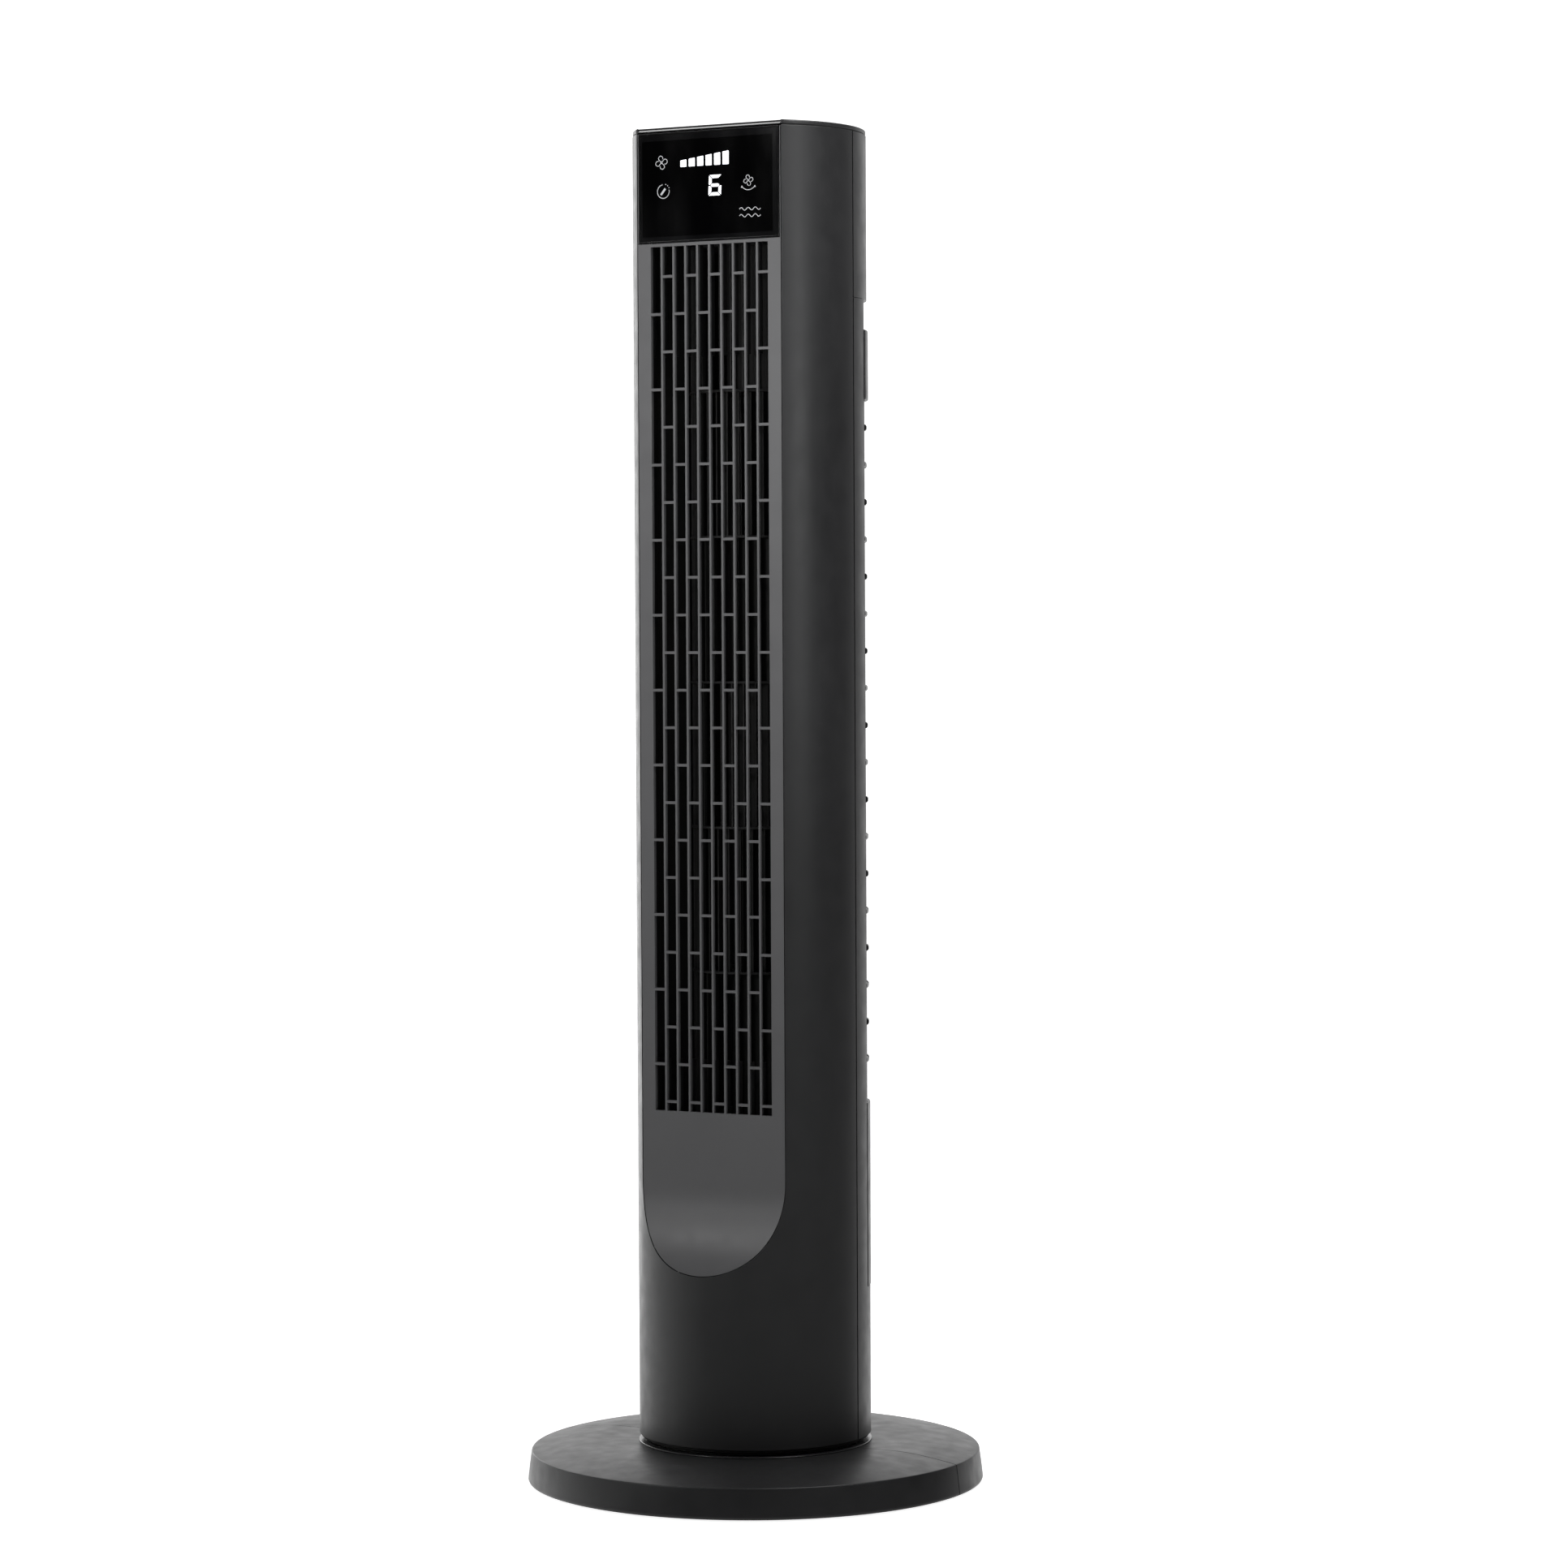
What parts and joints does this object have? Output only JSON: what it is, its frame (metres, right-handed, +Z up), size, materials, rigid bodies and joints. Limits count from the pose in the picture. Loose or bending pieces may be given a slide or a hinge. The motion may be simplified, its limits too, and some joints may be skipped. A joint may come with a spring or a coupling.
{
  "type": "tower fan",
  "caption": "Tall tower fan: round column with a flat grilled front, display and rear handle, swinging on a disc base by an inner gear drive.",
  "frame": {"origin": "centre of the disc base, on the floor", "axes": "+Z up along the column; the flat front with its grille and display faces -Y, so +X is on the right of someone who looks at the front"},
  "size_m": [0.3616, 0.3616, 1.0668],
  "materials": {
    "shell_black": "satin moulded black ABS",
    "panel_grey": "satin moulded dark grey ABS",
    "gloss_black": "polished black acrylic",
    "inner_black": "unpolished black plastic",
    "light_guide": "white light guide behind the display's symbols",
    "board_green": "green circuit board with solder mask",
    "steel": "bare steel",
    "motor_zinc": "zinc plated pressed steel",
    "acetal": "natural acetal",
    "rubber": "matte black rubber",
    "bronze": "sintered bronze",
    "wire_white": "white insulation"
  },
  "bodies": {
    "base": {"base_bottom_cover": "inner_black", "base_front_half": "shell_black", "base_rear_half": "shell_black", "cable_grommet": "rubber", "foot_pad_1": "rubber", "foot_pad_2": "rubber", "foot_pad_3": "rubber", "foot_pad_4": "rubber", "foot_pad_5": "rubber", "foot_pad_6": "rubber", "hub_screw_1": "steel", "hub_screw_2": "steel", "hub_screw_3": "steel", "turntable_hub": "shell_black", "ring_gear_sector": "acetal", "glide_ring": "acetal"},
    "column": {"column_foot": "inner_black", "pivot_nut": "acetal", "front_shell": "shell_black", "rear_shell": "shell_black", "upper_rear_cover": "shell_black", "shell_screw_1": "steel", "shell_screw_2": "steel", "shell_screw_3": "steel", "shell_screw_4": "steel", "front_grille": "panel_grey", "rear_grille": "shell_black", "lower_rear_cover": "shell_black", "carry_handle": "shell_black", "handle_pocket": "shell_black", "display_bezel": "gloss_black", "display_lens": "gloss_black", "display_light_guide": "light_guide", "display_board": "board_green", "top_cap": "shell_black", "control_fascia": "gloss_black", "control_board": "board_green", "upper_end_plate": "inner_black", "upper_bush": "bronze", "motor_bracket": "inner_black", "air_scroll": "inner_black", "air_stabiliser": "inner_black", "motor_can": "motor_zinc", "motor_end_cap": "motor_zinc", "motor_stator": "steel", "motor_bearing": "steel", "power_board": "board_green", "run_capacitor": "wire_white", "wiring_loom": "wire_white", "swing_motor": "motor_zinc"},
    "impeller_wheel": {"impeller": "inner_black", "impeller_stub_shaft": "steel", "rotor_core": "steel", "motor_shaft": "steel"},
    "swing_drive": {"swing_pinion": "acetal"},
    "power_button": {"power_button": "gloss_black"},
    "speed_button": {"speed_button": "gloss_black"},
    "mode_button": {"mode_button": "gloss_black"},
    "timer_button": {"timer_button": "gloss_black"},
    "swing_button": {"swing_button": "gloss_black"}
  },
  "joints": [
    {"name": "swing", "type": "hinge", "parent": "base", "child": "column", "pos_m": [0, 0, 0.03], "axis": [0, 0, 1], "range_deg": [-40, 40]},
    {"name": "impeller_spin", "type": "hinge", "parent": "column", "child": "impeller_wheel", "pos_m": [0, 0.004, 0.25], "axis": [0, 0, 1], "continuous": true},
    {"name": "pinion_spin", "type": "hinge", "parent": "column", "child": "swing_drive", "pos_m": [0, 0.03, 0.02], "axis": [0, 0, 1], "range_deg": [-205, 205]},
    {"name": "power_button_press", "type": "slide", "parent": "column", "child": "power_button", "axis": [0, 0, -1], "range_m": [0, 0.001], "stiffness_N_per_m": 400},
    {"name": "speed_button_press", "type": "slide", "parent": "column", "child": "speed_button", "axis": [0, 0, -1], "range_m": [0, 0.001], "stiffness_N_per_m": 400},
    {"name": "mode_button_press", "type": "slide", "parent": "column", "child": "mode_button", "axis": [0, 0, -1], "range_m": [0, 0.001], "stiffness_N_per_m": 400},
    {"name": "timer_button_press", "type": "slide", "parent": "column", "child": "timer_button", "axis": [0, 0, -1], "range_m": [0, 0.001], "stiffness_N_per_m": 400},
    {"name": "swing_button_press", "type": "slide", "parent": "column", "child": "swing_button", "axis": [0, 0, -1], "range_m": [0, 0.001], "stiffness_N_per_m": 400}
  ],
  "couplings": [
    {"joint": "pinion_spin", "follows": "swing", "ratio": -5}
  ]
}
